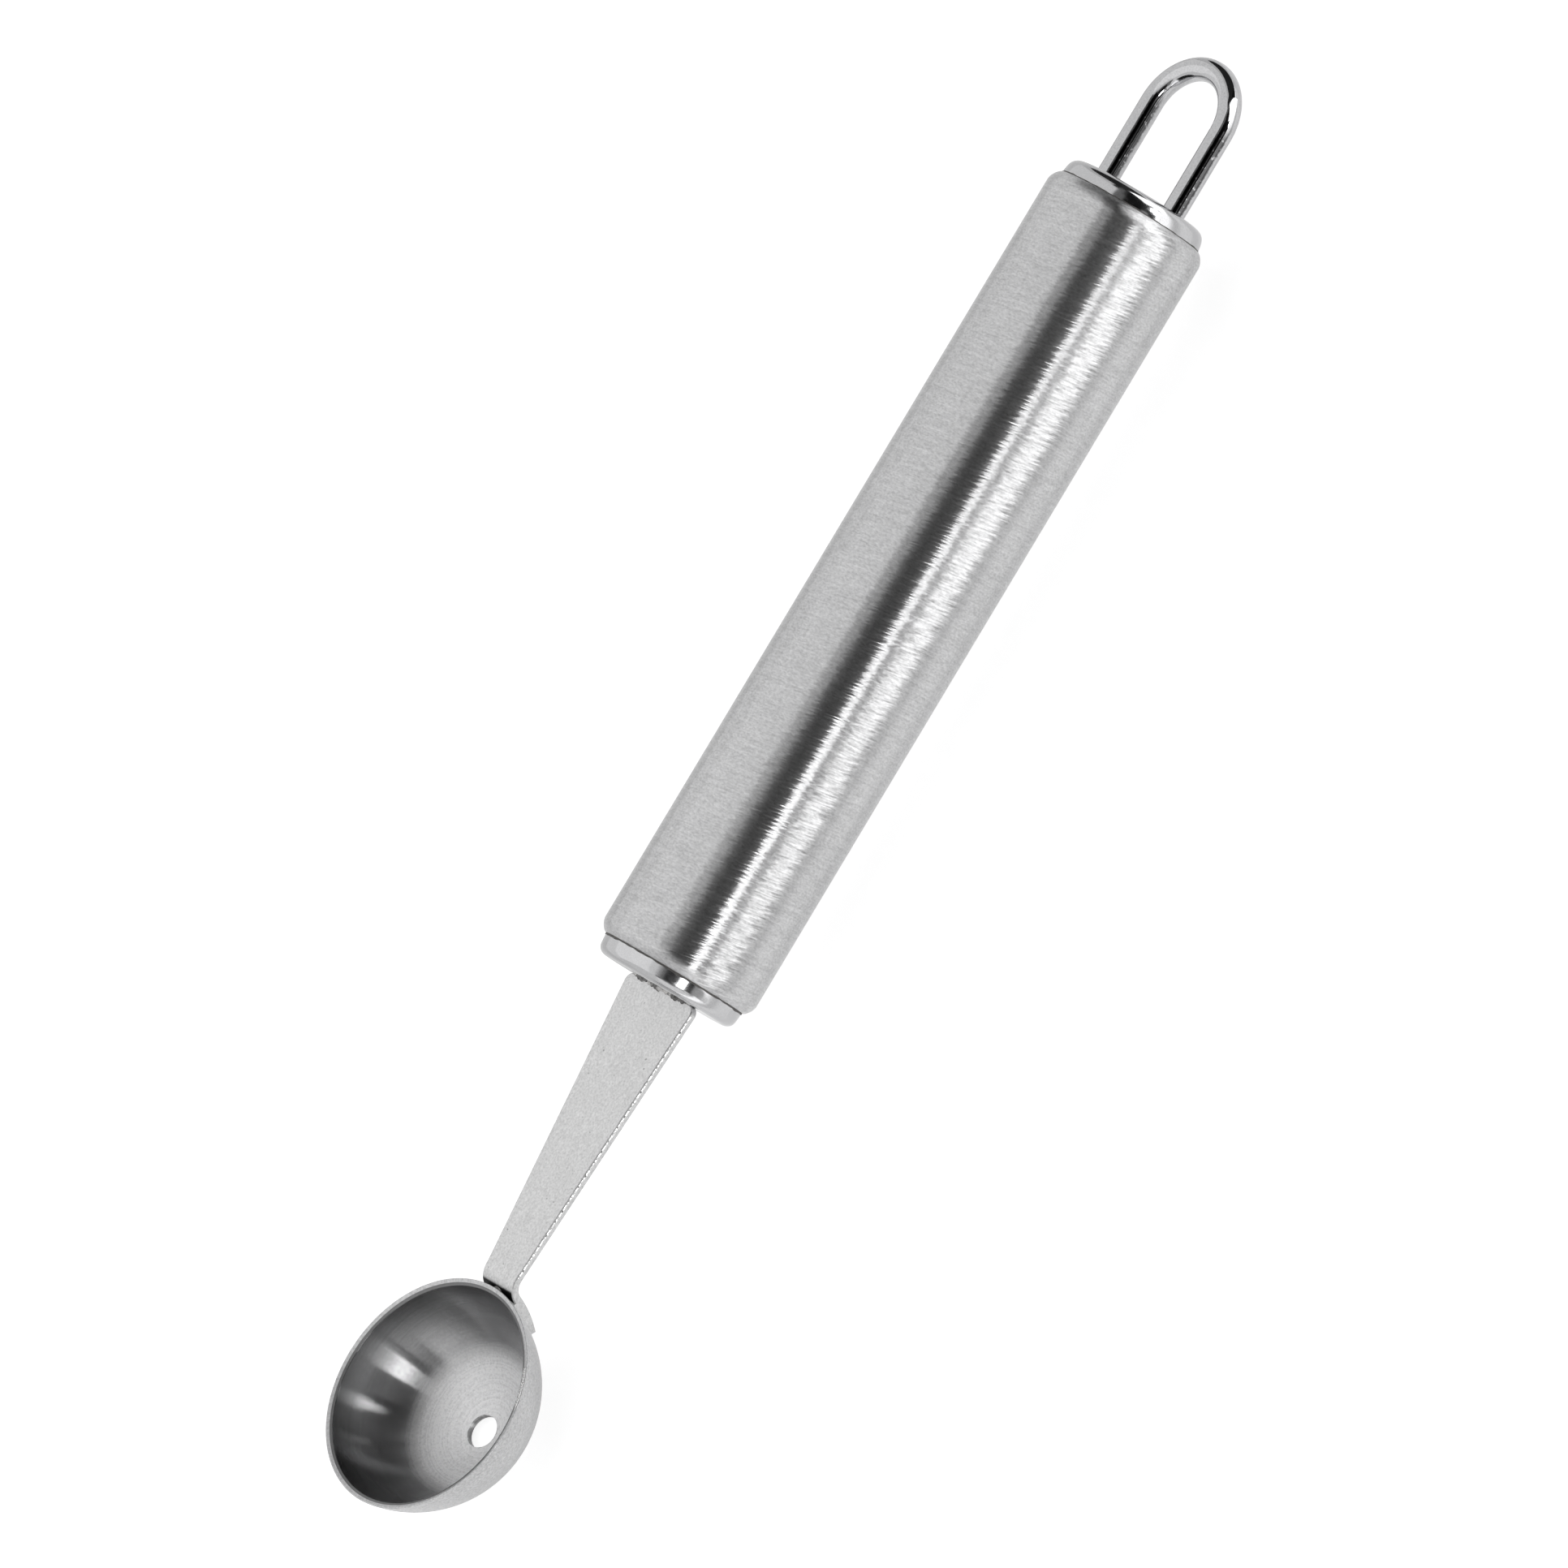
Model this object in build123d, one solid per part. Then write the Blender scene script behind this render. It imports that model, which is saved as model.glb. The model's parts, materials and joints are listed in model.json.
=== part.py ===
from build123d import *
from math import atan2, ceil, cos, degrees, hypot, radians, sin, sqrt
import os

# Melon baller with a hollow steel handle, lying with the opening of its bowl upwards.
# +X runs along the handle towards the hanging loop, +Y across it, +Z out of the bowl.
# It is drawn about the handle's axis and middle, and moved to its resting origin at the end.
# Lengths are in millimetres and angles in degrees.

# Handle tube
handle_diameter = 20.0
handle_length = 100.65
handle_wall = 1.0
end_roll_length = 1.45
end_roll_depth = 0.85

# End caps: drawn cups whose skirts sit in the tube
cap_fit_clearance = 0.05
cap_wall = 1.0
cap_skirt_length = 6.0
front_cap_stand_out = 2.3
rear_cap_stand_out = 2.15
front_cap_edge_radius = 1.0
rear_cap_edge_radius = 1.0
bond_width = 0.8

# Hanging loop: one bent wire
wire_diameter = 2.8
loop_height = 17.85
loop_arch_height = 6.1
loop_shoulder_share = 0.8
loop_leg_to_wall_gap = 0.4
loop_hole_clearance = 0.05
loop_leg_inside_length = 3.0
loop_weld_width = 0.9
loop_weld_height = 1.1

# Shank: a flat strip that tapers to the bowl, folds down there and ends in a foot
shank_thickness = 1.0
shank_width_at_cap = 12.5
foot_width = 5.7
shank_shoulder_radius = 1.0
shank_top_above_axis = 0.4
shank_drop = 1.2
taper_to_fold_length = 0.2
fold_outer_radius = 2.5
foot_angle = 37.5
foot_press_depth = 0.05
tang_width = 8.0
tang_inside_length = 2.0
tang_slot_clearance = 0.05
strip_edge_break = 0.12

# Weld between the strip and the front cap: a row of puddles on each face of the strip
weld_puddle_radius = 0.5
weld_pitch_share = 1.5
weld_span_share = 0.85
weld_size_shares = (1.0, 0.75, 1.15, 0.9, 1.2, 0.8, 1.05)

# Scoop: part of a ball with an even wall
bowl_rim_radius = 14.27
bowl_depth = 12.4
bowl_wall = 0.75
bowl_from_cap = 52.95
rim_above_axis = -0.37
rim_tilt = 2.3
rim_bevel_depth = 0.4
rim_edge_radius = 0.1
vent_hole_diameter = 4.05
vent_offset = 0.65

# Foot on the bowl, and the two weld nuggets between them
foot_gap = 0.04
spot_weld_diameter = 1.8
spot_weld_clearance = 0.03
spot_weld_sink_share = 0.4
spot_weld_angle_shares = (0.42, 0.75)

# How far a cut runs past what it cuts, and how near counts as being on a line
overrun = 1.0
on_line = 0.01

# Sizes that follow from the ones above
handle_radius = handle_diameter / 2
bore_radius = handle_radius - handle_wall
cap_radius = bore_radius - cap_fit_clearance
cavity_radius = cap_radius - cap_wall
wire_radius = wire_diameter / 2
leg_offset = cavity_radius - loop_leg_to_wall_gap - wire_radius
front_end = -handle_length / 2
rear_end = handle_length / 2
front_face = front_end - front_cap_stand_out
rear_face = rear_end + rear_cap_stand_out
rim_x = front_face - bowl_from_cap
fold_line = rim_x + bowl_rim_radius
shank_slope = degrees(atan2(shank_drop, front_face - fold_line))
tang_end = front_face + cap_wall + tang_inside_length

# The ball that the bowl is part of
ball_radius = (bowl_rim_radius**2 + bowl_depth**2) / (2 * bowl_depth)
ball_above_rim = ball_radius - bowl_depth
ball_x = rim_x + ball_above_rim * sin(radians(rim_tilt))
ball_z = rim_above_axis + ball_above_rim * cos(radians(rim_tilt))

# The foot's bed along its middle, and how far in the foot reaches before it is pressed to the ball
bed_radius = ball_radius + foot_gap - foot_press_depth
half_foot = foot_width / 2 + strip_edge_break
unpressed_radius = sqrt((ball_radius + foot_gap) ** 2 - half_foot**2) - strip_edge_break


def polar(center, radius, angle):
    """The point of a drawing at a radius and an angle from a centre."""
    return (center[0] + radius * cos(radians(angle)), center[1] + radius * sin(radians(angle)))


def arc_about(center, radius, start, end):
    """An arc about a centre between two angles."""
    middle = (start + end) / 2
    return ThreePointArc(*[polar(center, radius, angle) for angle in (start, middle, end)])


def turned_about_handle(edges):
    """A solid turned about the handle's axis, from an outline in length and radius."""
    return revolve(make_face(edges), Axis.X)


def rod_along_handle(radius, length, x, y):
    """A round rod parallel to the handle, with its middle at x."""
    return Location((x, y, 0)) * Cylinder(radius, length, rotation=(0, 90, 0))


def handle_tube():
    """The hollow grip, its ends rolled in towards the caps."""
    lip_radius = handle_radius - end_roll_depth
    front_roll = front_end + end_roll_length
    rear_roll = rear_end - end_roll_length
    edges = [
        Line((front_roll, handle_radius), (rear_roll, handle_radius)),
        TangentArc((rear_roll, handle_radius), (rear_end, lip_radius), tangent=(1, 0)),
        Line((rear_end, lip_radius), (rear_end, bore_radius)),
        Line((rear_end, bore_radius), (front_end, bore_radius)),
        Line((front_end, bore_radius), (front_end, lip_radius)),
        TangentArc((front_roll, handle_radius), (front_end, lip_radius), tangent=(-1, 0)),
    ]
    return turned_about_handle(edges)


def cap_cup(tube_end, face, edge_radius):
    """A drawn cup, from its open end in the tube to its closed face outside."""
    outward = 1 if face > tube_end else -1
    skirt_end = tube_end - outward * cap_skirt_length
    floor = face - outward * cap_wall
    edge_start = face - outward * edge_radius
    face_angle = 0 if outward > 0 else 180
    edges = [
        Line((skirt_end, cavity_radius), (skirt_end, cap_radius)),
        Line((skirt_end, cap_radius), (edge_start, cap_radius)),
        arc_about((edge_start, cap_radius - edge_radius), edge_radius, 90, face_angle),
        Line((face, cap_radius - edge_radius), (face, 0)),
        Line((face, 0), (floor, 0)),
        Line((floor, 0), (floor, cavity_radius)),
        Line((floor, cavity_radius), (skirt_end, cavity_radius)),
    ]
    return turned_about_handle(edges)


def cap_bond(tube_end, inward):
    """The fillet of solder that seals the end of a cap's skirt to the bore."""
    skirt_end = tube_end + inward * cap_skirt_length
    outline = Polyline(
        (skirt_end, cap_radius),
        (skirt_end + inward * bond_width, cap_radius),
        (skirt_end, cap_radius - bond_width),
        close=True,
    )
    return turned_about_handle(outline)


def front_cap():
    """The front cup, slotted for the shank's tang."""
    slot_width = tang_width + 2 * tang_slot_clearance
    slot_height = shank_thickness + 2 * tang_slot_clearance
    slot = Box(2 * (cap_wall + overrun), slot_width, slot_height)
    slot_place = Location((front_face, 0, shank_top_above_axis - shank_thickness / 2))
    return cap_cup(front_end, front_face, front_cap_edge_radius) - slot_place * slot


def rear_cap():
    """The rear cup, drilled for the loop's two legs."""
    cap = cap_cup(rear_end, rear_face, rear_cap_edge_radius)
    hole_radius = wire_radius + loop_hole_clearance
    hole_length = 2 * (cap_wall + loop_leg_inside_length + overrun)
    for side in (-1, 1):
        cap -= rod_along_handle(hole_radius, hole_length, rear_face, side * leg_offset)
    return cap


def loop_path():
    """The wire's middle line: two legs, two shoulders and a flatter crown."""
    leg_start = rear_face - cap_wall - loop_leg_inside_length
    legs_end = rear_face + loop_height - wire_radius - loop_arch_height
    shoulder = loop_shoulder_share * min(loop_arch_height, leg_offset)
    spread = leg_offset - shoulder
    crown = (loop_arch_height**2 + leg_offset**2 - 2 * leg_offset * shoulder) / (
        2 * (loop_arch_height - shoulder)
    )
    crown_center = legs_end + loop_arch_height - crown
    join_angle = degrees(atan2(spread, legs_end - crown_center))
    return Wire(
        [
            Line((leg_start, leg_offset), (legs_end, leg_offset)),
            arc_about((legs_end, spread), shoulder, 90, join_angle),
            arc_about((crown_center, 0), crown, join_angle, -join_angle),
            arc_about((legs_end, -spread), shoulder, -join_angle, -90),
            Line((legs_end, -leg_offset), (leg_start, -leg_offset)),
        ]
    )


def hanging_loop():
    """The bent wire, round in section."""
    path = loop_path()
    return sweep(Plane(origin=path @ 0, z_dir=path % 0) * Circle(wire_radius), path)


def hanging_loop_welds():
    """A weld puddle round each leg, on the inside of the rear cap."""
    middle = rear_face - cap_wall - loop_weld_height / 2
    room = rod_along_handle(cavity_radius - cap_fit_clearance, loop_weld_height, middle, 0)
    welds = []
    for side in (-1, 1):
        y = side * leg_offset
        puddle = rod_along_handle(wire_radius + loop_weld_width, loop_weld_height, middle, y)
        leg = rod_along_handle(wire_radius + loop_hole_clearance, loop_weld_height + overrun, middle, y)
        welds.append((puddle - leg) & room)
    return Compound(children=welds)


def fold_place():
    """The middle of the fold: one fold radius under the strip's top and one off the foot's bed."""
    start = polar((front_face, shank_top_above_axis), -fold_outer_radius, 90 + shank_slope)
    run = polar((0, 0), 1, 180 + shank_slope)
    to_ball = (ball_x - start[0], ball_z - start[1])
    along = to_ball[0] * run[0] + to_ball[1] * run[1]
    beside = hypot(to_ball[0] - along * run[0], to_ball[1] - along * run[1])
    travel = along - sqrt((bed_radius + fold_outer_radius) ** 2 - beside**2)
    return start[0] + travel * run[0], start[1] + travel * run[1]


def shank_side():
    """The shank seen from the side: tang, sloping strip, fold and foot."""
    ball = (ball_x, ball_z)
    tang_top = shank_top_above_axis
    tang_under = tang_top - shank_thickness
    up_angle = 90 + shank_slope
    fold = fold_place()
    bed_angle = degrees(atan2(fold[1] - ball[1], fold[0] - ball[0]))
    fold_inner_radius = fold_outer_radius - shank_thickness
    outer_fold = arc_about(fold, fold_outer_radius, up_angle, 180 + bed_angle)
    inner_fold = arc_about(fold, fold_inner_radius, 180 + bed_angle, up_angle)
    inner_foot = arc_about(ball, unpressed_radius, bed_angle, -foot_angle)
    outer_foot = arc_about(ball, bed_radius + shank_thickness, -foot_angle, bed_angle)
    under_cap = polar((front_face, tang_top), -shank_thickness, up_angle)
    edges = [
        Line((tang_end, tang_top), (front_face, tang_top)),
        Line((front_face, tang_top), outer_fold @ 0),
        outer_fold,
        Line(outer_fold @ 1, inner_foot @ 0),
        inner_foot,
        Line(inner_foot @ 1, outer_foot @ 0),
        outer_foot,
        inner_fold,
        Line(inner_fold @ 1, under_cap),
        Line(under_cap, (tang_end, tang_under)),
        Line((tang_end, tang_under), (tang_end, tang_top)),
    ]
    return make_face(edges)


def shank_plan():
    """The shank seen from above: tang, rounded shoulders, taper and foot."""
    taper_end = fold_place()[0] + taper_to_fold_length
    half = [
        (tang_end + overrun, tang_width / 2),
        (front_face, tang_width / 2),
        (front_face, shank_width_at_cap / 2),
        (taper_end, foot_width / 2),
        (rim_x, foot_width / 2),
    ]
    other_half = [(x, -y) for x, y in reversed(half)]
    plan = make_face(Polyline(*half, *other_half, close=True))
    widest = shank_width_at_cap / 2
    shoulders = [corner for corner in plan.vertices() if abs(abs(corner.Y) - widest) < on_line]
    return fillet(shoulders, shank_shoulder_radius)


def shank_strip():
    """The folded strip before its foot takes the ball's shape."""
    side = extrude(Plane.XZ * shank_side(), amount=shank_width_at_cap, both=True)
    plan = extrude(Plane.XY * shank_plan(), amount=ball_radius, both=True)
    return side & plan


def shank():
    """The strip with its long edges broken and its foot pressed to the bowl."""
    strip = shank_strip()
    long_edges = []
    for edge in strip.edges():
        middle = edge.center()
        outside = middle.X < front_face - on_line
        across = abs(middle.Y) < on_line
        upright = edge.geom_type == GeomType.LINE and abs(edge.length - shank_thickness) < on_line
        if outside and not across and not upright:
            long_edges.append(edge)
    strip = chamfer(long_edges, strip_edge_break)
    strip -= Location((ball_x, 0, ball_z)) * Sphere(ball_radius + foot_gap)
    for pocket in spot_weld_rods(spot_weld_clearance):
        strip -= pocket
    return strip


def spot_weld_rods(clearance):
    """Two short rods that cross from the foot into the bowl's wall."""
    reach = ball_radius + foot_gap / 2
    height = 2 * spot_weld_sink_share * bowl_wall
    rods = []
    for share in spot_weld_angle_shares:
        angle = share * foot_angle
        x, z = polar((ball_x, ball_z), reach, -angle)
        rod = Cylinder(spot_weld_diameter / 2 + clearance, height)
        rods.append(Location((x, 0, z), (0, 90 + angle, 0)) * rod)
    return rods


def scoop_spot_welds():
    """The two weld nuggets between the foot and the bowl."""
    return Compound(children=spot_weld_rods(0))


def scoop():
    """The bowl, its rim ground to slope inwards, and a vent hole a little off its lowest point."""
    inner_radius = ball_radius - bowl_wall
    inner_rim_below_ball = ball_above_rim + rim_bevel_depth
    inner_rim = sqrt(inner_radius**2 - inner_rim_below_ball**2)
    ball = (0, ball_above_rim)
    outer_start = -degrees(atan2(ball_above_rim, bowl_rim_radius))
    inner_start = -degrees(atan2(inner_rim_below_ball, inner_rim))
    edges = [
        arc_about(ball, ball_radius, outer_start, -90),
        Line((0, -bowl_depth), (0, bowl_wall - bowl_depth)),
        arc_about(ball, inner_radius, -90, inner_start),
        Line((inner_rim, -rim_bevel_depth), (bowl_rim_radius, 0)),
    ]
    bowl = revolve(Plane.XZ * make_face(edges), Axis.Z)
    rim_edges = []
    for edge in bowl.edges().filter_by(GeomType.CIRCLE):
        if -rim_bevel_depth - on_line < edge.center().Z < on_line:
            rim_edges.append(edge)
    bowl = fillet(rim_edges, rim_edge_radius)
    bowl -= Location((0, vent_offset, -bowl_depth)) * Cylinder(vent_hole_diameter / 2, bowl_depth)
    bowl = Location((rim_x, 0, rim_above_axis), (0, rim_tilt, 0)) * bowl
    for pocket in spot_weld_rods(spot_weld_clearance):
        bowl -= pocket
    return bowl


def shank_weld_bead():
    """Overlapping puddles where the strip meets the front cap, above and below the strip."""
    span = weld_span_share * (shank_width_at_cap - 2 * shank_shoulder_radius)
    steps = ceil(span / (weld_pitch_share * weld_puddle_radius))
    step = span / steps
    bead = None
    for height in (shank_top_above_axis, shank_top_above_axis - shank_thickness):
        for index in range(steps + 1):
            size = weld_puddle_radius * weld_size_shares[index % len(weld_size_shares)]
            puddle = Location((front_face, index * step - span / 2, height)) * Sphere(size)
            bead = puddle if bead is None else bead + puddle
    inside_cap = Box(
        handle_diameter, handle_diameter, handle_diameter, align=(Align.MIN, Align.CENTER, Align.CENTER)
    )
    return bead - Location((front_face, 0, 0)) * inside_cap - shank_strip()


pieces = {
    "scoop": scoop(),
    "scoop_spot_welds": scoop_spot_welds(),
    "shank": shank(),
    "shank_weld_bead": shank_weld_bead(),
    "front_cap": front_cap(),
    "front_cap_bond": cap_bond(front_end, 1),
    "handle_tube": handle_tube(),
    "rear_cap": rear_cap(),
    "rear_cap_bond": cap_bond(rear_end, -1),
    "hanging_loop": hanging_loop(),
    "hanging_loop_welds": hanging_loop_welds(),
}

# The origin is under the middle of the whole length, level with the bottom of the bowl.
scoop_tip = rim_x - bowl_rim_radius * cos(radians(rim_tilt))
loop_tip = rear_face + loop_height
resting_place = Location((-(scoop_tip + loop_tip) / 2, 0, ball_radius - ball_z))

os.makedirs("parts", exist_ok=True)
for name, piece in pieces.items():
    export_step(resting_place * piece, f"parts/{name}.step")
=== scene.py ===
import json
from math import atan, cos, pi, radians, sin, tan

import bmesh
import bpy
from mathutils import Matrix, Vector


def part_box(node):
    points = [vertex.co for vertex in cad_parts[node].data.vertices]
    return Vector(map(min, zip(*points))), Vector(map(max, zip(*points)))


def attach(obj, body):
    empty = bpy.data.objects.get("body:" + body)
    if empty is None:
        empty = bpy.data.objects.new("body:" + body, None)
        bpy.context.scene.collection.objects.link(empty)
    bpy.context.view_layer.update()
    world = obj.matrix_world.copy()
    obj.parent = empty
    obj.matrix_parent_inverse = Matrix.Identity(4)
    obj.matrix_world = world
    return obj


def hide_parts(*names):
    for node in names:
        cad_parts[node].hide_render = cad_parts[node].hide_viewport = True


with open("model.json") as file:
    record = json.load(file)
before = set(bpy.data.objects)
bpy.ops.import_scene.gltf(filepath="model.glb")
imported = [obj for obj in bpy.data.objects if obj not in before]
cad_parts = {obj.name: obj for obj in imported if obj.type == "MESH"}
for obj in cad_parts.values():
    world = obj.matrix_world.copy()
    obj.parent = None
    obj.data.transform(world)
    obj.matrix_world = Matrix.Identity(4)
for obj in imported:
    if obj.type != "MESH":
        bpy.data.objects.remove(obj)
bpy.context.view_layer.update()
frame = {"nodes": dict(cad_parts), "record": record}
nodes = frame["nodes"]
mm = 0.001
handleMount = frame["record"]["mounts"][0]
axisHeight = handleMount["pos_m"][2]
tubeFront, tubeRear = (corner.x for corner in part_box("handle_tube"))
frontFace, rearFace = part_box("front_cap")[0].x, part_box("rear_cap")[1].x
print("frame loaded:", len(nodes), "nodes")

# the photograph's view; the picture is 1932 pixels square
photoView = {
    "height angle": 44.0,       # degrees above the table, from the -Y side
    "swing": 2.0,               # degrees towards the scoop
    "roll": 59.07,              # degrees, the handle's lean in the picture
    "distance": 2000 * mm,
    "pixels per mm": 10.867,
    "picture side": 1932,
    "aim": (-0.80 * mm, -0.372 * mm, 12.701 * mm),      # along, across the view, height
    "sensor": 36,               # mm wide
    "clip": (0.05, 20),         # metres
}


def setCamera(view):
    height, swing, roll = (radians(view[key]) for key in ("height angle", "swing", "roll"))
    away = Vector((-sin(swing), -cos(height) * cos(swing), sin(height) * cos(swing)))
    along = Vector((1, 0, 0))
    handleUp = (along - away * along.dot(away)).normalized()
    handleRight = handleUp.cross(away)
    right = handleUp * cos(roll) + handleRight * sin(roll)
    up = handleUp * sin(roll) - handleRight * cos(roll)
    aimAlong, aimAcross, aimHeight = view["aim"]
    target = Vector((aimAlong, 0, aimHeight)) + along.cross(away).normalized() * aimAcross
    camera = bpy.data.cameras.new("photo_camera")
    camera.sensor_width = view["sensor"]
    pixelsPerMetre = view["pixels per mm"] / mm
    camera.lens = view["sensor"] * pixelsPerMetre * view["distance"] / view["picture side"]
    camera.clip_start, camera.clip_end = view["clip"]
    holder = bpy.data.objects.new("photo_camera", camera)
    turn = Matrix((right, up, away)).transposed().to_4x4()
    holder.matrix_world = Matrix.Translation(target + away * view["distance"]) @ turn
    bpy.context.scene.collection.objects.link(holder)
    bpy.context.scene.camera = holder


setCamera(photoView)
bpy.context.scene.view_settings.view_transform = "Standard"
print("camera set")


# a socket of a material, so that maths on values can be written as Python expressions
class Flow:
    def __init__(self, finish, socket):
        self.finish, self.socket = finish, socket

    def __add__(self, other):
        return self.finish.maths("ADD", self, other)

    def __sub__(self, other):
        return self.finish.maths("SUBTRACT", self, other)

    def __rsub__(self, other):
        return self.finish.maths("SUBTRACT", other, self)

    def __mul__(self, other):
        return self.finish.maths("MULTIPLY", self, other)

    def __truediv__(self, other):
        return self.finish.maths("DIVIDE", self, other)

    __radd__, __rmul__ = __add__, __mul__


# the node tree of a material or of the world
class Finish:
    def __init__(self, holder):
        self.holder = holder
        holder.use_nodes = True
        self.tree = holder.node_tree
        self.tree.nodes.clear()

    # settings are set first, then the values or links of the sockets
    def node(self, kind, settings=None, values=None, out=0):
        made = self.tree.nodes.new("ShaderNode" + kind)
        for key, setting in (settings or {}).items():
            if key == "stops":
                ramp = made.color_ramp
                while len(ramp.elements) < len(setting):
                    ramp.elements.new(1)
                for element, (at, level) in zip(ramp.elements, setting):
                    element.position, element.color = at, (level, level, level, 1)
            else:
                setattr(made, key, setting)
        for key, value in (values or {}).items():
            if isinstance(value, Flow):
                self.tree.links.new(value.socket, made.inputs[key])
            else:
                made.inputs[key].default_value = value
        return Flow(self, made.outputs[out])

    def maths(self, operation, *terms):
        return self.node("Math", {"operation": operation}, dict(enumerate(terms)))

    def put(self, shader, kind="OutputMaterial"):
        output = self.tree.nodes.new("ShaderNode" + kind)
        self.tree.links.new(shader.socket, output.inputs["Surface"])
        return self.holder


# what every steel finish here is made of
class Steel(Finish):
    def __init__(self, name):
        super().__init__(bpy.data.materials.new(name))
        self.place = self.node("TexCoord", out="Object")

    def vector(self, operation, *terms, out="Vector"):
        return self.node("VectorMath", {"operation": operation}, dict(enumerate(terms)), out)

    def coordinate(self, place, axis):
        return self.node("SeparateXYZ", None, {0: place}, axis)

    # perMetre is how fine the noise is along each axis
    def grain(self, place, perMetre, detail, roughness):
        stretched = self.vector("MULTIPLY", place, perMetre)
        values = {"Vector": stretched, "Scale": 1.0, "Detail": detail, "Roughness": roughness}
        return self.node("TexNoise", None, values)

    def between(self, value, low, high, toLow=0.0, toHigh=1.0):
        values = {"Value": value, "From Min": low, "From Max": high}
        values.update({"To Min": toLow, "To Max": toHigh})
        return self.node("MapRange", {"interpolation_type": "SMOOTHSTEP"}, values)

    def shade(self, colour, level):
        settings = {"data_type": "RGBA", "blend_type": "MULTIPLY"}
        grey = self.node("CombineColor", None, {0: level, 1: level, 2: level})
        return self.node("Mix", settings, {"Factor": 1.0, "A": (*colour, 1), "B": grey}, out=2)

    def bump(self, height, depth, strength):
        return self.node("Bump", None, {"Height": height, "Distance": depth, "Strength": strength})

    # keeps only a share of a bump's tilt along world X, the handle, and all of its tilt round it
    def eased(self, normal, share):
        form = self.node("NewGeometry", out="Normal")
        tilt = self.vector("SUBTRACT", normal, form)
        kept = self.vector("MULTIPLY", tilt, (share, 1, 1))
        return self.vector("NORMALIZE", self.vector("ADD", form, kept))

    # brushed steel smears its reflections across the brush lines, a quarter turn from the tangent
    def metal(self, colour, roughness, normal, brushed=0.0):
        values = {"Base Color": colour, "Metallic": 1.0, "Roughness": roughness, "Normal": normal}
        values.update({"Anisotropic": brushed, "Anisotropic Rotation": 0.25 if brushed else 0.0})
        return self.node("BsdfPrincipled", None, values)


def wear(name, material):
    node = nodes[name]
    node.data.materials.clear()
    node.data.materials.append(material)


meshLook = {
    "merge within": 0.0001 * mm,
    "sharp angle": 30,      # degrees, edges that fold more stay sharp
}


def meshPiece(name, corners, faces):
    mesh = bpy.data.meshes.new(name)
    mesh.from_pydata(corners, [], faces)
    form = bmesh.new()
    form.from_mesh(mesh)
    bmesh.ops.remove_doubles(form, verts=form.verts, dist=meshLook["merge within"])
    bmesh.ops.recalc_face_normals(form, faces=form.faces)
    form.to_mesh(mesh)
    form.free()
    piece = bpy.data.objects.new(name, mesh)
    bpy.context.scene.collection.objects.link(piece)
    for polygon in mesh.polygons:
        polygon.use_smooth = True
    mesh.set_sharp_from_angle(angle=radians(meshLook["sharp angle"]))
    return piece


# the faces between rings of corners, and over the first and the last ring if they don't close
def bridged(rings, count, first=0, closed=False):
    faces = []
    for ring in range(rings if closed else rings - 1):
        here, there = first + ring * count, first + (ring + 1) % rings * count
        for index in range(count):
            after = (index + 1) % count
            faces.append((here + index, here + after, there + after, there + index))
    if not closed:
        last = first + (rings - 1) * count
        faces += [tuple(range(first, first + count)), tuple(range(last, last + count))]
    return faces


# a closed outline of (along, radius), turned about the piece's own Z and laid along the handle
def turnedPiece(name, outlineAt, segments):
    corners = []
    for turn in range(segments):
        angle = 2 * pi * turn / segments
        outline = outlineAt(angle)
        for along, radius in outline:
            corners.append((radius * cos(angle), radius * sin(angle), along))
    piece = meshPiece(name, corners, bridged(segments, len(outline), closed=True))
    laid = Matrix.Rotation(radians(90), 4, "Y")
    piece.matrix_world = Matrix.Translation((0, 0, axisHeight)) @ laid
    return piece


# a slow, uneven wave that closes on itself after a full turn, from -1 to 1;
# each wave has its count in a turn, its shift and its share
def uneven(angle, waves):
    return sum(sin(count * angle + shift) * share for count, shift, share in waves)


# the tube: brushed round the handle, its ends rolled in;
# each grain has its fineness per metre along the piece's axes, its detail and its roughness,
# and each bump its depth and its strength
tube = {
    "radius": (handleMount["dims"]["r_mm"] - 0.004) * mm,
    "bore": 9.0 * mm,
    "roll length": 1.45 * mm,
    "roll depth": 0.85 * mm,
    "roll crease": 8.0,         # degrees, where the roll starts
    "roll steps": 12,
    "lip rounding": 0.12 * mm,
    "lip start": (0.2, 0.1),    # shares of the rounding, back from the end and outwards
    "lip drop": 0.4,            # share of the rounding, inwards at the end
    "straight steps": 24,
    "segments": 256,
    "steel": (0.66, 0.66, 0.665),
    "roughness": 0.282,
    "brushing": 1.0,
    "brushed towards": (0.719, -0.695, 0),
    "brush slope": 0.15,
    "hairs": ((330, 330, 4200), 3.0, 0.6),
    "lines": ((130, 130, 2400), 2.0, 0.5),
    "clouds": ((120, 120, 60), 2.0, 0.5),
    "speck": ((2200, 2200, 4600), 2.0, 0.6),
    "jags": ((320, 320, 3600), 1.0, 0.5),
    "bump": (0.19 * mm, 1.0),
    "coarse from": (2.1 * mm, 3.2 * mm),    # a coarser stripe runs along the tube
    "coarse to": (5.5 * mm, 6.5 * mm),
    "coarse past it": 0.12,
    "tilt kept along": 0.3,
}


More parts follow.
